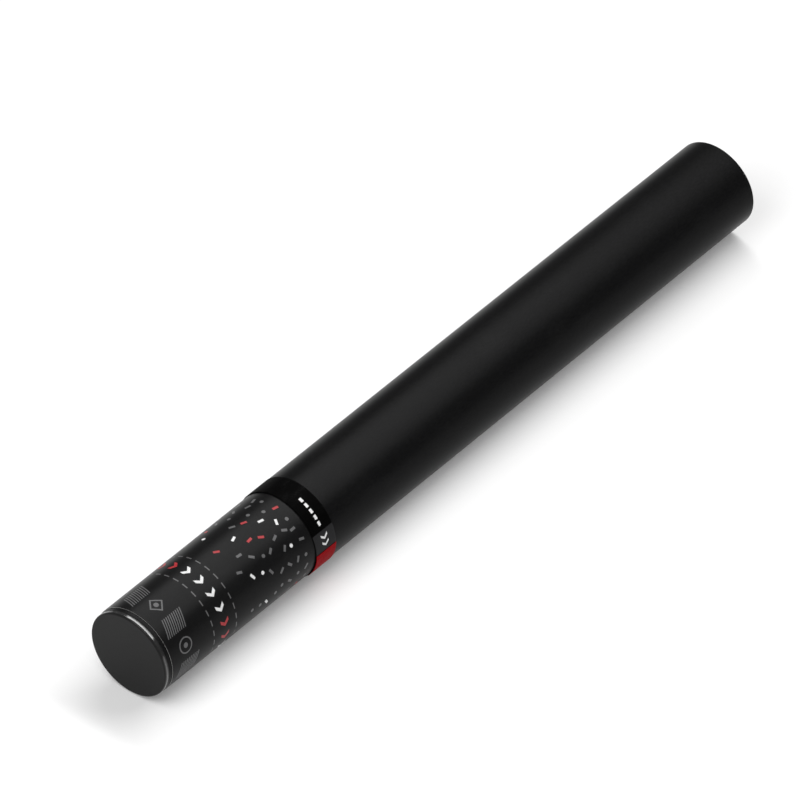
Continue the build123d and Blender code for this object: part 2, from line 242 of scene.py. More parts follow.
def guard_ends(bm, start, end, room=1.0 * MM):
    """Cuts a loop beside each end, so that the rounded ends don't bend the shading between them."""
    for x in (start + room, end - room):
        bmesh.ops.bisect_plane(
            bm, geom=bm.verts[:] + bm.edges[:] + bm.faces[:], dist=ON_CUT,
            plane_co=(x, 0, 0), plane_no=(1, 0, 0),
        )


def patch(bm, x, arc, long, wide, turn=0.0):
    """Flat rectangle at a place along the axis and a length of arc round the tube."""
    place = Matrix.Translation((x, arc, 0)) @ Matrix.Rotation(turn, 4, "Z")
    scale = Matrix.Diagonal((long, wide, 1, 1))
    made = bmesh.ops.create_grid(bm, x_segments=1, y_segments=1, size=0.5, matrix=place @ scale)
    return made["verts"]


def disc(bm, x, arc, diameter, sides=20):
    """Flat disc at a place along the axis and a length of arc round the tube."""
    bmesh.ops.create_circle(
        bm, cap_ends=True, segments=sides, radius=diameter / 2, matrix=Matrix.Translation((x, arc, 0))
    )


def round_corners(bm, corners, radius):
    """Rounds corners of a flat sheet."""
    bmesh.ops.bevel(
        bm, geom=corners, offset=radius, offset_type="OFFSET", affect="VERTICES",
        segments=4, profile=0.5, material=-1,
    )


def hollow(bm, faces, line):
    """Leaves only a line along the inside of each face's border."""
    bmesh.ops.inset_individual(bm, faces=faces, thickness=line, use_even_offset=True)
    bmesh.ops.delete(bm, geom=faces, context="FACES_ONLY")


def chevron(bm, x, arc, high, wide, stroke):
    """Arrowhead without a shaft, pointing round the tube."""
    for side in (1, -1):
        foot = [(side * high / 2, -wide / 2), (side * high / 2, stroke - wide / 2)]
        nose = [(0.0, wide / 2), (0.0, wide / 2 - stroke)]
        corners = [bm.verts.new((x + across, arc + along, 0.0)) for across, along in foot + nose]
        bm.faces.new(corners)


def bend_round(bm, radius, step):
    """Cuts a flat sheet into strips and bends it round the tube."""
    first = min(vert.co.y for vert in bm.verts)
    last = max(vert.co.y for vert in bm.verts)
    for index in range(1, math.ceil((last - first) / step)):
        bmesh.ops.bisect_plane(
            bm, geom=bm.verts[:] + bm.edges[:] + bm.faces[:], dist=ON_CUT,
            plane_co=(0, first + index * step, 0), plane_no=(0, 1, 0),
        )
    for vert in bm.verts:
        round_angle = vert.co.y / radius
        lift = radius + vert.co.z
        vert.co = (vert.co.x, -lift * math.sin(round_angle), lift * math.cos(round_angle))


def thicken(bm, thickness):
    """Gives a bent sheet its thickness, inwards from its outer face."""
    outer = list(bm.faces)
    made = bmesh.ops.extrude_face_region(bm, geom=outer, use_keep_orig=True)
    for vert in [part for part in made["geom"] if isinstance(part, bmesh.types.BMVert)]:
        radial = Vector((0, vert.co.y, vert.co.z))
        vert.co -= radial.normalized() * thickness
    bmesh.ops.recalc_face_normals(bm, faces=bm.faces)


def sector(start, end, outer, inner, angles, steps):
    """Closed piece of a tube's wall between two angles."""
    bm = bmesh.new()
    first, last = angles
    corners = [bm.verts.new((x, 0, radius)) for x, radius in
               ((start, inner), (end, inner), (end, outer), (start, outer))]
    face = bm.faces.new(corners)
    bmesh.ops.rotate(bm, verts=corners, cent=(0, 0, 0), matrix=Matrix.Rotation(first, 3, "X"))
    bmesh.ops.spin(
        bm, geom=[face] + face.edges[:] + corners, cent=(0, 0, 0), axis=(1, 0, 0),
        angle=last - first, steps=steps,
    )
    bmesh.ops.recalc_face_normals(bm, faces=bm.faces)
    return bm


def paint_inside(bm, outer, edge):
    """Gives a tube's second material to the faces that lie deeper than its softened outer edge."""
    just_past_edge = outer - 1.1 * edge
    for face in bm.faces:
        face.material_index = int(face.calc_center_median().yz.length < just_past_edge)


def add_piece(name, bm, body, materials, slot, *nodes):
    """Makes an object of a mesh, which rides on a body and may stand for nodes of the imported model."""
    mesh = bpy.data.meshes.new(name)
    bm.to_mesh(mesh)
    bm.free()
    for material in materials:
        mesh.materials.append(material)
    mesh.shade_smooth()
    mesh.set_sharp_from_angle(angle=SHADING_EDGE)
    piece = bpy.data.objects.new(name, mesh)
    bpy.context.scene.collection.objects.link(piece)
    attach(piece, body)
    if nodes:
        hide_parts(*nodes)
    return piece


def dress(material, *nodes):
    """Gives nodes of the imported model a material, and leaves their meshes as they are."""
    for name in nodes:
        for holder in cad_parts[name].material_slots:
            holder.material = material


# Shader building

def add(tree, kind, values=None, **settings):
    """Adds a node, sets its options and fills in its inputs."""
    made = tree.nodes.new(kind)
    for name, value in settings.items():
        setattr(made, name, value)
    for name, value in (values or {}).items():
        made.inputs[name].default_value = value
    return made


def math_node(tree, operation, first, second):
    """Math on two inputs, each of which is a number or another node's output."""
    made = tree.nodes.new("ShaderNodeMath")
    made.operation = operation
    for socket, value in zip(made.inputs, (first, second)):
        if isinstance(value, (int, float)):
            socket.default_value = value
        else:
            tree.links.new(value, socket)
    return made.outputs["Value"]


def ramp(tree, value, low=0.3, high=0.7, to_low=0.0, to_high=1.0):
    """Maps a range of a value smoothly on to another range. The usual range is the middle of a noise."""
    made = add(tree, "ShaderNodeMapRange", interpolation_type="SMOOTHSTEP")
    tree.links.new(value, made.inputs["Value"])
    numbers = {"From Min": low, "From Max": high, "To Min": to_low, "To Max": to_high}
    for name, number in numbers.items():
        if isinstance(number, (int, float)):
            made.inputs[name].default_value = number
        else:
            tree.links.new(number, made.inputs[name])
    return made.outputs["Result"]


def blend_colours(tree, factor, first, second):
    """Goes from one colour to another with a factor."""
    made = add(tree, "ShaderNodeMix", data_type="RGBA")
    made.inputs["A"].default_value = (*first, 1.0)
    made.inputs["B"].default_value = (*second, 1.0)
    tree.links.new(factor, made.inputs["Factor"])
    return made.outputs["Result"]


def effect(name, inputs, output):
    """Starts a node group with number inputs and one output. Returns its tree, input and output nodes."""
    group = bpy.data.node_groups.new(name, "ShaderNodeTree")
    for label, default in inputs.items():
        socket = group.interface.new_socket(label, in_out="INPUT", socket_type="NodeSocketFloat")
        socket.default_value = default
    group.interface.new_socket(output, in_out="OUTPUT", socket_type="NodeSocketFloat")
    return group, group.nodes.new("NodeGroupInput"), group.nodes.new("NodeGroupOutput")


def noise(tree, size, stretch=(1, 1, 1), detail=3.0, roughness=0.6):
    """Noise whose lumps have a size in metres, stretched along the axes."""
    place = add(tree, "ShaderNodeTexCoord")
    scaled = add(tree, "ShaderNodeVectorMath", operation="DIVIDE")
    scaled.inputs[1].default_value = stretch
    tree.links.new(place.outputs["Object"], scaled.inputs[0])
    texture = add(tree, "ShaderNodeTexNoise", {"Detail": detail, "Roughness": roughness})
    tree.links.new(scaled.outputs["Vector"], texture.inputs["Vector"])
    if isinstance(size, (int, float)):
        texture.inputs["Scale"].default_value = 1 / size
    else:
        tree.links.new(math_node(tree, "DIVIDE", 1.0, size), texture.inputs["Scale"])
    return texture.outputs["Fac"]


def fibre_effect():
    """Matted fibres of paper and card."""
    tree, given, out = effect("paper_fibre", {"Fibre Size": 0.4 * MM}, "Fibre")
    fine = noise(tree, given.outputs["Fibre Size"], detail=5.0, roughness=0.7)
    strands = noise(tree, given.outputs["Fibre Size"], stretch=(6, 1, 1), detail=2.0)
    both = math_node(tree, "ADD", fine, strands)
    tree.links.new(math_node(tree, "MULTIPLY", both, 0.5), out.inputs["Fibre"])
    return tree


def handling_effect():
    """Rubbed and dusty places, as patches broken up by finer specks."""
    tree, given, out = effect("handling_marks", {"Mark Size": 12 * MM, "Coverage": 0.4}, "Marks")
    full = 0.85
    patches = noise(tree, given.outputs["Mark Size"], stretch=(2.5, 1, 1), detail=4.0)
    threshold = math_node(tree, "SUBTRACT", full, given.outputs["Coverage"])
    shaped = ramp(tree, patches, low=threshold, high=full)
    specks = ramp(tree, noise(tree, 0.5 * MM, detail=4.0), low=0.4, high=0.65)
    tree.links.new(math_node(tree, "MULTIPLY", shaped, specks), out.inputs["Marks"])
    return tree


def edge_rub_effect():
    """Rub along a cut edge, which fades away from one place on the axis and is broken up by noise."""
    tree, given, out = effect("edge_rub", {"Edge": 0.0, "Reach": 1 * MM, "Unbroken": 0.0}, "Rub")
    place = add(tree, "ShaderNodeTexCoord")
    parts = add(tree, "ShaderNodeSeparateXYZ")
    tree.links.new(place.outputs["Object"], parts.inputs["Vector"])
    off = math_node(tree, "SUBTRACT", parts.outputs["X"], given.outputs["Edge"])
    away = math_node(tree, "ABSOLUTE", off, 0.0)
    share = math_node(tree, "DIVIDE", away, given.outputs["Reach"])
    near = ramp(tree, share, low=0.0, high=1.0, to_low=1.0, to_high=0.0)
    specks = noise(tree, 1.5 * MM, detail=4.0)
    broken = ramp(tree, specks, low=0.35, high=0.65, to_low=given.outputs["Unbroken"])
    tree.links.new(math_node(tree, "MULTIPLY", near, broken), out.inputs["Rub"])
    return tree


def mould_effect():
    """Fine stipple of a moulded or eroded tool face."""
    tree, given, out = effect("mould_stipple", {"Grain Size": 0.25 * MM}, "Stipple")
    fine = noise(tree, given.outputs["Grain Size"], detail=2.0, roughness=0.5)
    tree.links.new(ramp(tree, fine), out.inputs["Stipple"])
    return tree


def layer_effect():
    """Edges of many thin sheets, stacked upwards."""
    tree, given, out = effect("sheet_edges", {"Sheet": 0.12 * MM}, "Edges")
    lines = noise(tree, given.outputs["Sheet"], stretch=(400, 400, 1), detail=1.0)
    tree.links.new(ramp(tree, lines), out.inputs["Edges"])
    return tree


EFFECTS = {
    "fibre": fibre_effect,
    "handling": handling_effect,
    "rub": edge_rub_effect,
    "mould": mould_effect,
    "layers": layer_effect,
}
made_effects = {}


def use_effect(tree, name, **values):
    """Places a shared effect in a material with its own values, and returns its output."""
    if name not in made_effects:
        made_effects[name] = EFFECTS[name]()
    placed = add(tree, "ShaderNodeGroup", node_tree=made_effects[name])
    for label, value in values.items():
        placed.inputs[label.replace("_", " ").title()].default_value = value
    return placed.outputs[0]


def start_material(name, **constants):
    """New material. Constants go on its shader's own sockets."""
    material = bpy.data.materials.new(name)
    material.use_nodes = True
    tree = material.node_tree
    shader = tree.nodes["Principled BSDF"]
    for label, value in constants.items():
        shader.inputs[label.replace("_", " ")].default_value = value
    return material, tree, shader


def bump(tree, shader, height, depth):
    """Relief of a material, with its depth in metres."""
    made = add(tree, "ShaderNodeBump", {"Strength": 1.0, "Distance": depth})
    tree.links.new(height, made.inputs["Height"])
    tree.links.new(made.outputs["Normal"], shader.inputs["Normal"])


def lighter(tint, share):
    """A colour moved some way towards white."""
    return tuple(part + (1 - part) * share for part in tint)


def darker(tint, share):
    """A colour moved some way towards black."""
    return tuple(part * (1 - share) for part in tint)


def paper(name, tint, fibre_size, dull, relief, specular, rubs=(), dust=0.012):
    """Card or paper: fibre tone and relief, dusty handling marks, and rub along cut edges."""
    material, tree, shader = start_material(name, Specular_IOR_Level=specular)
    fibre = use_effect(tree, "fibre", fibre_size=fibre_size)
    wear = use_effect(tree, "handling", mark_size=14 * MM, coverage=0.35)
    for place, width in rubs:
        wear = math_node(tree, "MAXIMUM", wear, use_effect(tree, "rub", edge=place, reach=width))
    fibre_share = 0.35
    dull_spread = 0.05
    fibre_tone = ramp(tree, fibre, low=0.35, high=0.65, to_high=fibre_share)
    wear_tone = math_node(tree, "MULTIPLY", wear, 1 - fibre_share)
    tone = math_node(tree, "ADD", fibre_tone, wear_tone)
    tree.links.new(blend_colours(tree, tone, tint, lighter(tint, dust)), shader.inputs["Base Color"])
    mottled = ramp(tree, fibre, to_low=dull - dull_spread, to_high=dull + dull_spread)
    tree.links.new(mottled, shader.inputs["Roughness"])
    bump(tree, shader, fibre, relief)
    return material


def plastic(name, tint, grain, dull, relief, specular=0.5):
    """Moulded plastic with a fine stipple and slight handling marks."""
    material, tree, shader = start_material(name, Specular_IOR_Level=specular)
    stipple = use_effect(tree, "mould", grain_size=grain)
    marks = use_effect(tree, "handling", mark_size=9 * MM, coverage=0.3)
    stipple_share = 0.4
    dust = 0.008
    scuff_dulling = 0.12
    stipple_tone = math_node(tree, "MULTIPLY", stipple, stipple_share)
    marks_tone = math_node(tree, "MULTIPLY", marks, 1 - stipple_share)
    tone = math_node(tree, "ADD", stipple_tone, marks_tone)
    tree.links.new(blend_colours(tree, tone, tint, lighter(tint, dust)), shader.inputs["Base Color"])
    scuffed = ramp(tree, marks, low=0.0, high=1.0, to_low=dull, to_high=dull + scuff_dulling)
    tree.links.new(scuffed, shader.inputs["Roughness"])
    bump(tree, shader, stipple, relief)
    return material


def film(name, tint, dull, specular, ripple=0.02 * MM):
    """Thin plastic film: faint ripples where it is stretched over the tubes, and slight scuffs."""
    material, tree, shader = start_material(name, Specular_IOR_Level=specular)
    ripples = noise(tree, 5 * MM, stretch=(1, 2, 2), detail=2.0, roughness=0.4)
    scuffs = use_effect(tree, "handling", mark_size=6 * MM, coverage=0.35)
    dust = 0.012
    scuff_dulling = 0.2
    tree.links.new(blend_colours(tree, scuffs, tint, lighter(tint, dust)), shader.inputs["Base Color"])
    scuffed = ramp(tree, scuffs, low=0.0, high=1.0, to_low=dull, to_high=dull + scuff_dulling)
    tree.links.new(scuffed, shader.inputs["Roughness"])
    bump(tree, shader, ripples, ripple)
    return material


def ink(name, tint):
    """Print on the label: slightly mottled, with the paper's fibre under it."""
    material, tree, shader = start_material(name, Specular_IOR_Level=0.3)
    fibre = use_effect(tree, "fibre", fibre_size=0.35 * MM)
    mottle = ramp(tree, fibre, low=0.35, high=0.55)
    tree.links.new(blend_colours(tree, mottle, darker(tint, 0.28), tint), shader.inputs["Base Color"])
    tree.links.new(ramp(tree, fibre, to_low=0.38, to_high=0.5), shader.inputs["Roughness"])
    bump(tree, shader, fibre, 0.004 * MM)
    return material


def metal(name, tint, dull, stretch):
    """Plated steel with fine drawing lines."""
    material, tree, shader = start_material(name, Metallic=1.0)
    lines = noise(tree, 0.15 * MM, stretch=stretch, detail=3.0)
    marks = use_effect(tree, "handling", mark_size=5 * MM, coverage=0.35)
    tree.links.new(blend_colours(tree, marks, tint, darker(tint, 0.2)), shader.inputs["Base Color"])
    drawn = ramp(tree, lines, to_low=dull - 0.06, to_high=dull + 0.08)
    tree.links.new(drawn, shader.inputs["Roughness"])
    bump(tree, shader, lines, 0.003 * MM)
    return material


def slip_paper(name, tint):
    """Dyed paper slips: fibre on the flat side and the edges of many thin sheets round the rim."""
    material, tree, shader = start_material(name, Specular_IOR_Level=0.25)
    fibre = use_effect(tree, "fibre", fibre_size=0.3 * MM)
    edges = use_effect(tree, "layers", sheet=0.12 * MM)
    half_fibre = math_node(tree, "MULTIPLY", fibre, 0.5)
    half_edges = math_node(tree, "MULTIPLY", edges, 0.5)
    both = math_node(tree, "ADD", half_fibre, half_edges)
    tree.links.new(blend_colours(tree, both, darker(tint, 0.3), tint), shader.inputs["Base Color"])
    tree.links.new(ramp(tree, fibre, to_low=0.55, to_high=0.7), shader.inputs["Roughness"])
    bump(tree, shader, both, 0.02 * MM)
    return material


def floor_material(tint, glow):
    """Pale floor that takes the shadow, and is a little brighter where it is seen or mirrored."""
    material = bpy.data.materials.new("floor")
    material.use_nodes = True
    tree = material.node_tree
    tree.nodes.clear()
    matt = add(tree, "ShaderNodeBsdfDiffuse", {"Color": (*tint, 1.0)})
    light_path = add(tree, "ShaderNodeLightPath")
    seen = light_path.outputs["Is Camera Ray"]
    for kind in ("Is Glossy Ray", "Is Transmission Ray"):
        seen = math_node(tree, "MAXIMUM", seen, light_path.outputs[kind])
    shine = add(tree, "ShaderNodeEmission")
    tree.links.new(math_node(tree, "MULTIPLY", seen, glow), shine.inputs["Strength"])
    both = add(tree, "ShaderNodeAddShader")
    tree.links.new(matt.outputs["BSDF"], both.inputs[0])
    tree.links.new(shine.outputs["Emission"], both.inputs[1])
    output = add(tree, "ShaderNodeOutputMaterial")
    tree.links.new(both.outputs["Shader"], output.inputs["Surface"])
    return material


def label_black(tints):
    """Black paper of the label, rubbed along both cut edges."""
    return paper("label_paper", tints.label, fibre_size=0.3 * MM, dull=0.32, relief=0.006 * MM,
                 specular=0.056, rubs=((LABEL_START, 1 * MM), (LABEL_END, 1 * MM)))


def board_grey(tints):
    """Plain board inside the tubes, made once."""
    made = bpy.data.materials.get("plain_board")
    return made or paper("plain_board", tints.board, fibre_size=0.5 * MM, dull=0.8, relief=0.03 * MM,
                         specular=0.2, dust=0.15)


def inks(tints):
    """The three inks of the label and the seal, made once."""
    names = ("ink_white", "ink_grey", "ink_red")
    return [bpy.data.materials.get(name) or ink(name, getattr(tints, name)) for name in names]


# Pieces

class POPPER_OT_barrel(bpy.types.Operator):
    """Barrel of wound card with a matt black paper outside"""

    bl_idname = "popper.barrel"
    bl_label = "Barrel"

    def execute(self, context):
        sizes, tints = context.scene.popper_sizes, context.scene.popper_colours
        bm = tube(BARREL_START, MUZZLE, TUBE_RADIUS, BORE_RADIUS, sizes.round_steps)
        middle = (BARREL_START + MUZZLE) / 2
        soften(bm, sizes.muzzle_edge, chosen=lambda edge: edge.verts[0].co.x > middle)
        soften(bm, sizes.edge_radius, chosen=lambda edge: edge.verts[0].co.x < middle)
        guard_ends(bm, BARREL_START, MUZZLE)
        paint_inside(bm, TUBE_RADIUS, sizes.muzzle_edge)
        skin = paper("barrel_paper", tints.barrel, fibre_size=0.4 * MM, dull=0.32, relief=0.008 * MM,
                     specular=0.043, rubs=((MUZZLE, 1.2 * MM), (BARREL_START, 0.8 * MM)))
        add_piece("barrel_sleeve", bm, "barrel", [skin, board_grey(tints)], "barrel_card", "barrel_tube")
        return {"FINISHED"}


class POPPER_OT_handle(bpy.types.Operator):
    """Handle tube of card, and the black label wrapped round it"""

    bl_idname = "popper.handle"
    bl_label = "Handle and Label"

    lap_turn = math.radians(170.0)
    lap_steps = 20

    def execute(self, context):
        sizes, tints = context.scene.popper_sizes, context.scene.popper_colours
        self.card(sizes, tints)
        self.label(sizes, tints)
        return {"FINISHED"}

    def card(self, sizes, tints):
        """Tube of wound card with a black paper outside."""
        bm = tube(HANDLE_START, HANDLE_END, HANDLE_RADIUS, BORE_RADIUS, sizes.round_steps)
        soften(bm, sizes.edge_radius)
        guard_ends(bm, HANDLE_START, HANDLE_END)
        paint_inside(bm, HANDLE_RADIUS, sizes.edge_radius)
        skin = paper("handle_paper", tints.label, fibre_size=0.4 * MM, dull=0.32, relief=0.008 * MM,
                     specular=0.043, rubs=((HANDLE_START, 0.8 * MM), (HANDLE_END, 0.8 * MM)))
        add_piece("handle_sleeve", bm, "handle", [skin, board_grey(tints)], "handle_card", "handle_tube")

    def label(self, sizes, tints):
        """Label with pale cut edges, whose paleness is partly a painted highlight along them, and its lap on
        the far side.
        """
        sheet = label_black(tints)
        bm = tube(LABEL_START, LABEL_END, LABEL_RADIUS, LABEL_RADIUS - LABEL_THICKNESS, sizes.round_steps)
        for face in bm.faces:
            is_cut_edge = abs(face.normal.x) > 0.5
            face.material_index = int(is_cut_edge)
        # Pale paper core on the cut edges, which also paints the highlight that the thin edge catches
        core_and_edge_highlight = paper("label_core_and_edge_highlight", tints.label_core_and_edge_highlight, fibre_size=0.2 * MM, dull=0.8, relief=0.01 * MM,
                     specular=0.2, dust=0.1)
        add_piece("label_sheet", bm, "handle", [sheet, core_and_edge_highlight], "printed_label", "handle_label")
        lap_start = FACING + self.lap_turn
        lap_angles = (lap_start, lap_start + sizes.lap_width / LABEL_RADIUS)
        inner = LABEL_RADIUS - LABEL_THICKNESS / 4
        outer = inner + LABEL_THICKNESS / 2
        bm = sector(LABEL_START, LABEL_END, outer, inner, lap_angles, self.lap_steps)
        add_piece("label_lap", bm, "handle", [sheet], "printed_label")


class POPPER_OT_label_print(bpy.types.Operator):
    """Plain print on the label: hatching with marks, a band of chevrons, and scattered slips of paper"""

    bl_idname = "popper.label_print"
    bl_label = "Label Print"

    base_place = 18 * MM
    base_blocks = 6
    hatch_strokes = 10
    hatch_pitch = 1.5 * MM
    hatch_line = 0.6 * MM
    hatch_long = 11 * MM
    hatch_slant = 0.35
    mark_line = 0.8 * MM
    mark_dot = 3 * MM
    ring_diameter = 9.5 * MM
    ring_sides = 32
    diamond_side = 7 * MM
    diamond_turn = math.radians(45.0)
    chevron_place = 48 * MM
    chevrons = 18
    chevron_high = 6 * MM
    chevron_wide = 4.6 * MM
    chevron_stroke = 2.2 * MM
    chevron_cycle = 6
    whites_in_cycle = 4
    dash_offset = 9 * MM
    dashes = 26
    dash_line = 0.7 * MM
    dash_long = 3.6 * MM
    scatter_places = (69 * MM, 115 * MM)
    scatter_rows = 8
    first_row_count = 7
    more_each_row = 2
    stray_along = 0.18
    stray_round = 0.2
    slip_long = 3.6 * MM
    slip_wide = 1.5 * MM
    slip_turn = 1.2
    dot_diameter = 2.2 * MM
    dot_share = 0.3
    scatter_weights = (6, 2, 1)
    scatter_seed = 5

    def execute(self, context):
        sizes = context.scene.popper_sizes
        self.white = bmesh.new()
        self.grey = bmesh.new()
        self.red = bmesh.new()
        self.around = TURN * LABEL_RADIUS
        self.base_band()
        self.chevron_band()
        self.scatter(random.Random(self.scatter_seed))
        sheets = {"white": self.white, "grey": self.grey, "red": self.red}
        for (name, bm), material in zip(sheets.items(), inks(context.scene.popper_colours)):
            bend_round(bm, LABEL_RADIUS + sizes.ink_relief, sizes.bend_step)
            thicken(bm, 2 * sizes.ink_relief)
            add_piece(f"label_print_{name}", bm, "handle", [material], "printed_label")
        return {"FINISHED"}

    def base_band(self):
        """Blocks of hatching near the base, with rings and diamonds in turn between them."""
        pitch = self.around / self.base_blocks
        for block in range(self.base_blocks):
            arc = FACING * LABEL_RADIUS + block * pitch
            self.hatching(arc)
            self.mark(arc + pitch / 2, block % 2 == 0)

    def hatching(self, arc):
        """Fine slanting strokes, side by side along the handle."""
        middle = (self.hatch_strokes - 1) / 2
        for stroke in range(self.hatch_strokes):
            along = self.base_place + (stroke - middle) * self.hatch_pitch
            patch(self.grey, along, arc, self.hatch_line, self.hatch_long, self.hatch_slant)

    def mark(self, arc, is_ring):
        """Ring or diamond with a dot in it."""
        faces_before = set(self.grey.faces)
        if is_ring:
            disc(self.grey, self.base_place, arc, self.ring_diameter, self.ring_sides)
        else:
            side = self.diamond_side
            patch(self.grey, self.base_place, arc, side, side, self.diamond_turn)
        hollow(self.grey, [face for face in self.grey.faces if face not in faces_before], self.mark_line)
        disc(self.grey, self.base_place, arc, self.mark_dot)

    def chevron_band(self):
        """Chevrons that point the way the handle turns, four white and two red, between rows of dashes."""
        for index in range(self.chevrons):
            sheet = self.white if index % self.chevron_cycle < self.whites_in_cycle else self.red
            arc = index * self.around / self.chevrons
            chevron(sheet, self.chevron_place, arc, self.chevron_high, self.chevron_wide, self.chevron_stroke)
        for side in (-1, 1):
            along = self.chevron_place + side * self.dash_offset
            for index in range(self.dashes):
                arc = index * self.around / self.dashes
                patch(self.grey, along, arc, self.dash_line, self.dash_long)

    def scatter(self, chance):
        """Slips and dots of paper that get fewer from the seal towards the base."""
        start, end = self.scatter_places
        row_pitch = (end - start) / (self.scatter_rows - 1)
        for row in range(self.scatter_rows):
            count = self.first_row_count + self.more_each_row * row
            arc_pitch = self.around / count
            stagger = 0.5 * (row % 2)
            for index in range(count):
                along = start + (row + chance.uniform(-self.stray_along, self.stray_along)) * row_pitch
                arc = (index + stagger + chance.uniform(-self.stray_round, self.stray_round)) * arc_pitch
                sheet = chance.choices((self.grey, self.red, self.white), weights=self.scatter_weights)[0]
                if chance.random() < self.dot_share:
                    disc(sheet, along, arc, self.dot_diameter)
                else:
                    turn = chance.uniform(-self.slip_turn, self.slip_turn)
                    patch(sheet, along, arc, self.slip_long, self.slip_wide, turn)


class POPPER_OT_base_cap(bpy.types.Operator):
    """Black moulded cap at the base"""

    bl_idname = "popper.base_cap"
    bl_label = "Base Cap"

    rim_place = 1.5 * MM
    rim_reach = 1.3 * MM
    rim_polish = 0.09
    rim_index = 1.7

    def execute(self, context):
        dress(self.cap_plastic(context.scene.popper_colours), "base_cap")
        return {"FINISHED"}

    def cap_plastic(self, tints):
        """Satin plastic whose rim is polished by handling."""
        material = plastic("cap_plastic", tints.cap, grain=0.2 * MM, dull=0.5, relief=0.004 * MM,
                           specular=0.165)
        tree = material.node_tree
        shader = tree.nodes["Principled BSDF"]
        shader.inputs["Coat Roughness"].default_value = self.rim_polish
        shader.inputs["Coat IOR"].default_value = self.rim_index
        rim = use_effect(tree, "rub", edge=self.rim_place, reach=self.rim_reach, unbroken=0.8)
        tree.links.new(rim, shader.inputs["Coat Weight"])
        return material


class POPPER_OT_seal(bpy.types.Operator):
    """Band of film round the twist joint, its lapped end, its print and the red pull tab"""

    bl_idname = "popper.seal"
    bl_label = "Seal and Pull Tab"

    lap_steps = 24
    dash_angles = [math.radians(21.0 + 8.5 * index) for index in range(5)]
    dash_high = 1.8 * MM
    dash_wide = 2.6 * MM
    chevron_angles = [math.radians(72.0 + 9.0 * index) for index in range(2)]
    chevron_high = 5 * MM
    chevron_wide = 3.4 * MM
    chevron_stroke = 1.5 * MM

    def execute(self, context):
        self.sizes = context.scene.popper_sizes
        self.tints = context.scene.popper_colours
        self.middle = (SEAL_START + SEAL_END) / 2
        self.band()
        self.lap()
        self.prints()
        self.pull_tab()
        return {"FINISHED"}

    def band(self):
        """Film once round the tubes."""
        bm = tube(SEAL_START, SEAL_END, SEAL_RADIUS, SEAL_RADIUS - FILM_THICKNESS, self.sizes.round_steps)
        soften(bm, FILM_THICKNESS / 4, segments=2)
        guard_ends(bm, SEAL_START, SEAL_END)
        black = film("seal_film", self.tints.film, dull=0.5, specular=0.01)
        add_piece("seal_band", bm, "seal", [black], "seal_film", "safety_seal")

    def lap(self):
        """Grey end of the film, which lies on the band."""
        inner = SEAL_RADIUS - FILM_THICKNESS / 2
        bm = sector(SEAL_START, SEAL_END, LAP_RADIUS, inner, LAP_ANGLES, self.lap_steps)
        soften(bm, FILM_THICKNESS / 4, segments=2)
        guard_ends(bm, SEAL_START, SEAL_END)
        grey = film("lap_film", self.tints.lap, dull=0.45, specular=0.04)
        add_piece("seal_lap", bm, "seal", [grey], "seal_film")

    def prints(self):
        """White dashes on the band, and chevrons on its lap that point to the tab."""
        bm = bmesh.new()
        for angle in self.dash_angles:
            patch(bm, self.middle, SEAL_RADIUS * angle, self.dash_high, self.dash_wide)
        self.white_print("seal_print", bm, SEAL_RADIUS)
        bm = bmesh.new()
        for angle in self.chevron_angles:
            chevron(bm, self.middle, LAP_RADIUS * angle,
                    self.chevron_high, self.chevron_wide, self.chevron_stroke)
        self.white_print("lap_print", bm, LAP_RADIUS)

    def white_print(self, name, bm, radius):
        """Bends flat white print round the film."""
        white = inks(self.tints)[0]
        bend_round(bm, radius + self.sizes.ink_relief, self.sizes.bend_step)
        thicken(bm, 2 * self.sizes.ink_relief)
        add_piece(name, bm, "seal", [white], "seal_film")

    def pull_tab(self):
        """Loose end of the film, with rounded corners."""
        root = TAB_ROOT * TAB_RADIUS
        bm = bmesh.new()
        corners = patch(bm, self.middle, root + TAB_LENGTH / 2, SEAL_END - SEAL_START, TAB_LENGTH)
        tip = [corner for corner in corners if corner.co.y > root + TAB_LENGTH / 2]
        round_corners(bm, tip, TAB_CORNER)
        bend_round(bm, TAB_RADIUS, self.sizes.bend_step)
        thicken(bm, TAB_THICKNESS)
        soften(bm, TAB_THICKNESS / 5, segments=2)
        guard_ends(bm, SEAL_START, SEAL_END)
        red = film("tab_film", self.tints.tab, dull=0.5, specular=0.02)
        add_piece("tab_film", bm, "tab", [red], "tab_film", "pull_tab")


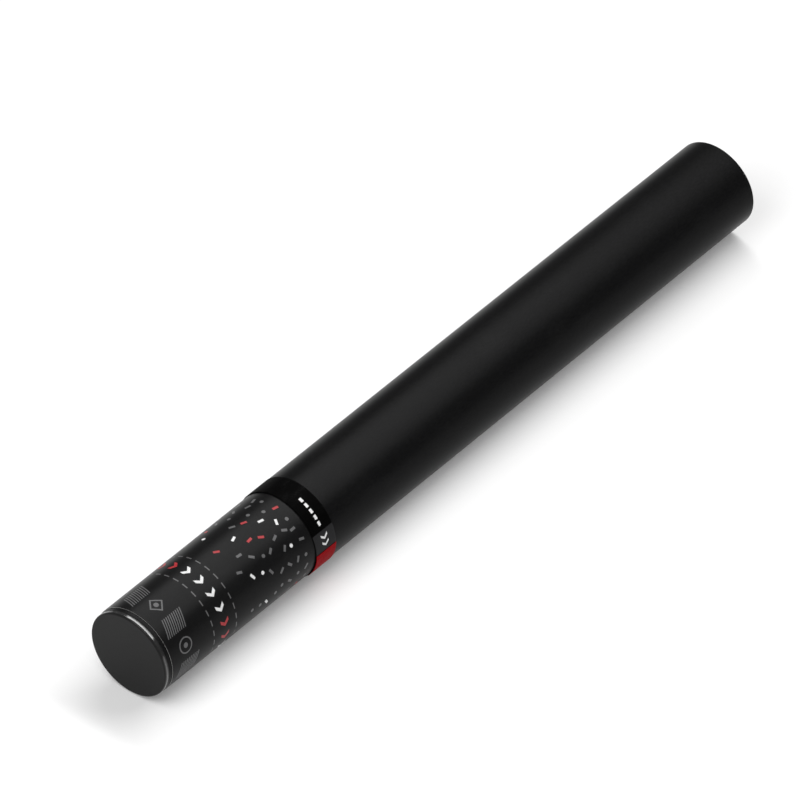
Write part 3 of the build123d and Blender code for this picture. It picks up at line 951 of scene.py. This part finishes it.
class POPPER_OT_confetti(bpy.types.Operator):
    """Stacks of coloured paper slips in the barrel"""

    bl_idname = "popper.confetti"
    bl_label = "Confetti"

    slip_colours = {
        "orange": (0.80, 0.19, 0.02),
        "lime": (0.52, 0.68, 0.03),
        "blue": (0.02, 0.30, 0.72),
        "magenta": (0.60, 0.03, 0.26),
        "red": (0.55, 0.012, 0.015),
        "green": (0.02, 0.11, 0.05),
        "yellow": (0.85, 0.55, 0.02),
    }
    stack_gap = 0.3 * MM
    bundle_fill = 0.97
    first_seed = 11

    def execute(self, context):
        self.sizes = context.scene.popper_sizes
        materials = [slip_paper(f"slip_{name}", tint) for name, tint in self.slip_colours.items()]
        rows = sorted(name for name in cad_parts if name.startswith("confetti_row_"))
        for index, node in enumerate(rows):
            bm = bmesh.new()
            low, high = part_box(node)
            chance = random.Random(self.first_seed + index)
            wide = self.sizes.slip_width
            bore = math.hypot(high.z, wide / 2)
            half = math.sqrt(bore**2 - (wide + self.stack_gap / 2)**2)
            for side in (1, -1):
                self.stack(bm, low.x, high.x, side * (wide + self.stack_gap) / 2, -half, half, chance)
            crown = half + self.stack_gap
            self.stack(bm, low.x, high.x, 0.0, crown, high.z, chance)
            self.stack(bm, low.x, high.x, 0.0, low.z, -crown, chance)
            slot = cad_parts[node].material_slots[0].material.name
            add_piece(f"confetti_slips_{index + 1}", bm, "charge", materials, slot, node)
        return {"FINISHED"}

    def stack(self, bm, start, end, across, bottom, top, chance):
        """One stack, built up from bundles of slips that lie slightly out of line."""
        count = round((top - bottom) / self.sizes.slip_bundle)
        pitch = (top - bottom) / count
        loose = self.sizes.slip_disorder
        last = -1
        for index in range(count):
            shift = Vector((chance.uniform(-loose, loose), chance.uniform(-loose, loose), 0))
            place = Vector(((start + end) / 2, across, bottom + (index + 0.5) * pitch)) + shift
            size = (end - start - 2 * loose, self.sizes.slip_width - 2 * loose, pitch * self.bundle_fill)
            block = Matrix.Translation(place) @ Matrix.Diagonal((*size, 1))
            made = bmesh.ops.create_cube(bm, size=1.0, matrix=block)
            shade = chance.choice([number for number in range(len(self.slip_colours)) if number != last])
            last = shade
            for face in {face for vert in made["verts"] for face in vert.link_faces}:
                face.material_index = shade


class POPPER_OT_charge(bpy.types.Operator):
    """Wad, pusher disc and muzzle lid"""

    bl_idname = "popper.charge"
    bl_label = "Wad, Pusher and Lid"

    def execute(self, context):
        tints = context.scene.popper_colours
        wad = plastic("wad_plastic", tints.plastic, grain=0.4 * MM, dull=0.5, relief=0.01 * MM)
        lid = paper("lid_card", tints.barrel, fibre_size=0.5 * MM, dull=0.62, relief=0.02 * MM, specular=0.2)
        dress(wad, "pressure_wad")
        dress(board_grey(tints), "pusher_disc")
        dress(lid, "muzzle_lid")
        return {"FINISHED"}


class POPPER_OT_mechanism(bpy.types.Operator):
    """Firing mechanism inside the handle"""

    bl_idname = "popper.mechanism"
    bl_label = "Mechanism"

    spring_wire = 1.2 * MM
    spring_turns = 8
    steps_each_turn = 24
    wire_sides = 10
    carrier_travel = 6.0 * MM

    def execute(self, context):
        tints = context.scene.popper_colours
        self.plastics(tints)
        self.metals(tints)
        rubber = paper("seal_rubber", tints.rubber, fibre_size=0.3 * MM, dull=0.75, relief=0.01 * MM,
                       specular=0.3)
        dress(rubber, "neck_seal")
        return {"FINISHED"}

    def plastics(self, tints):
        """Moulded pieces, all with the same tool finish."""
        finish = {"grain": 0.3 * MM, "relief": 0.006 * MM}
        white = plastic("mechanism_plastic", tints.plastic, dull=0.42, **finish)
        grey = plastic("guide_plastic", tints.guide, dull=0.4, **finish)
        black = plastic("breech_plastic", tints.cap, dull=0.36, **finish)
        dress(white, "cam_sleeve", "upper_bush", "cartridge_carrier")
        dress(grey, "guide_tube")
        dress(black, "breech_block")

    def metals(self, tints):
        """Plated pieces and the brighter cartridge."""
        steel = metal("plated_steel", tints.steel, dull=0.32, stretch=(1, 8, 8))
        bright = metal("cartridge_steel", lighter(tints.steel, 0.3), dull=0.22, stretch=(12, 1, 1))
        dress(steel, "retaining_ring", "piercing_needle", "thrust_washer", "cross_pin")
        self.spring(steel)
        dress(bright, "gas_cartridge", "cartridge_cap")

    def spring(self, steel):
        """Coil of wire that runs the length of the spring's box."""
        low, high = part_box("carrier_spring")
        wire_radius = self.spring_wire / 2
        start = Vector((low.x + wire_radius, 0, high.z - wire_radius))
        steps = self.steps_each_turn * self.spring_turns
        climb = (high.x - low.x - self.spring_wire) / steps
        bm = bmesh.new()
        section = Matrix.Translation(start) @ Matrix.Rotation(TURN / 4, 4, "X")
        bmesh.ops.create_circle(bm, segments=self.wire_sides, radius=wire_radius, matrix=section)
        bmesh.ops.spin(bm, geom=bm.verts[:] + bm.edges[:], cent=(0, 0, 0), axis=(1, 0, 0),
                       dvec=(climb, 0, 0), angle=TURN * self.spring_turns, steps=steps)
        bmesh.ops.holes_fill(bm, edges=[edge for edge in bm.edges if edge.is_boundary])
        bmesh.ops.recalc_face_normals(bm, faces=bm.faces)
        coil = add_piece("spring_coil", bm, "barrel", [steel], "steel", "carrier_spring")
        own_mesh(coil)


class POPPER_OT_stage(bpy.types.Operator):
    """Floor, room light, two softboxes and camera"""

    bl_idname = "popper.stage"
    bl_label = "Stage"

    floor_sides = 96

    def execute(self, context):
        stage = context.scene.popper_stage
        self.stage = stage
        self.middle = Vector(((CAD_BOX[0].x + CAD_BOX[1].x) / 2, 0, 0))
        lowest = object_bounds()[0].z
        self.floor(lowest)
        self.world()
        self.softbox("key_softbox", stage.key_power, stage.key_width, stage.key_length, stage.key_place)
        self.softbox("fill_softbox", stage.fill_power, stage.fill_size, stage.fill_size, stage.fill_place)
        self.camera()
        context.scene.view_settings.view_transform = "Standard"
        return {"FINISHED"}

    def floor(self, level):
        """Round floor under the popper."""
        bm = bmesh.new()
        bmesh.ops.create_circle(bm, cap_ends=True, segments=self.floor_sides, radius=self.stage.floor_radius,
                                matrix=Matrix.Translation((0, 0, level)))
        mesh = bpy.data.meshes.new("floor")
        bm.to_mesh(mesh)
        bm.free()
        mesh.materials.append(floor_material(self.stage.floor, self.stage.floor_glow))
        floor = bpy.data.objects.new("floor", mesh)
        bpy.context.scene.collection.objects.link(floor)
        floor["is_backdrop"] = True

    def world(self):
        """Even white light of the room."""
        world = bpy.data.worlds.new("room")
        world.use_nodes = True
        background = world.node_tree.nodes["Background"]
        background.inputs["Color"].default_value = (1, 1, 1, 1)
        background.inputs["Strength"].default_value = self.stage.world_level
        bpy.context.scene.world = world

    def softbox(self, name, power, width, length, place):
        """Area lamp at a place from the popper's middle, tilted along the popper and square across it."""
        light = bpy.data.lights.new(name, "AREA")
        light.shape = "RECTANGLE"
        light.size = width
        light.size_y = length
        light.energy = power
        lamp = bpy.data.objects.new(name, light)
        offset = Vector(place)
        lamp.location = self.middle + offset
        lamp.rotation_euler = Vector((offset.x, 0, offset.z)).to_track_quat("Z", "Y").to_euler()
        lamp.visible_camera = False
        bpy.context.scene.collection.objects.link(lamp)

    def camera(self):
        """Camera at the photo's viewing angle."""
        stage = self.stage
        level = math.cos(stage.elevation)
        toward_x = math.sin(stage.azimuth) * level
        toward_y = -math.cos(stage.azimuth) * level
        back = Vector((toward_x, toward_y, math.sin(stage.elevation)))
        turn = back.to_track_quat("Z", "Y")
        right = turn @ Vector((1, 0, 0))
        up = turn @ Vector((0, 1, 0))
        data = bpy.data.cameras.new("camera")
        data.lens = data.sensor_width * stage.distance / stage.view_width
        data.clip_end = 4 * stage.floor_radius
        camera = bpy.data.objects.new("camera", data)
        camera.location = self.middle - right * stage.aim_right + up * stage.aim_down + back * stage.distance
        camera.rotation_euler = turn.to_euler()
        bpy.context.scene.collection.objects.link(camera)
        bpy.context.scene.camera = camera


OPERATORS = (
    POPPER_OT_barrel,
    POPPER_OT_handle,
    POPPER_OT_label_print,
    POPPER_OT_base_cap,
    POPPER_OT_seal,
    POPPER_OT_confetti,
    POPPER_OT_charge,
    POPPER_OT_mechanism,
    POPPER_OT_stage,
)


class POPPER_PT_sidebar(bpy.types.Panel):
    """Sizes, colours and steps of the popper"""

    bl_idname = "POPPER_PT_sidebar"
    bl_label = "Confetti Popper"
    bl_space_type = "VIEW_3D"
    bl_region_type = "UI"
    bl_category = "Popper"

    def draw(self, context):
        for group in (context.scene.popper_sizes, context.scene.popper_colours, context.scene.popper_stage):
            box = self.layout.box()
            for name in group.__annotations__:
                box.prop(group, name)
        for operator in OPERATORS:
            self.layout.operator(operator.bl_idname)


CLASSES = (PopperSizes, PopperColours, PopperStage, *OPERATORS, POPPER_PT_sidebar)


def register():
    for item in CLASSES:
        bpy.utils.register_class(item)
    bpy.types.Scene.popper_sizes = PointerProperty(type=PopperSizes)
    bpy.types.Scene.popper_colours = PointerProperty(type=PopperColours)
    bpy.types.Scene.popper_stage = PointerProperty(type=PopperStage)


def unregister():
    del bpy.types.Scene.popper_stage
    del bpy.types.Scene.popper_colours
    del bpy.types.Scene.popper_sizes
    for item in reversed(CLASSES):
        bpy.utils.unregister_class(item)


def main():
    register()
    for operator in OPERATORS:
        family, step = operator.bl_idname.split(".")
        getattr(getattr(bpy.ops, family), step)()


if __name__ == "__main__":
    main()
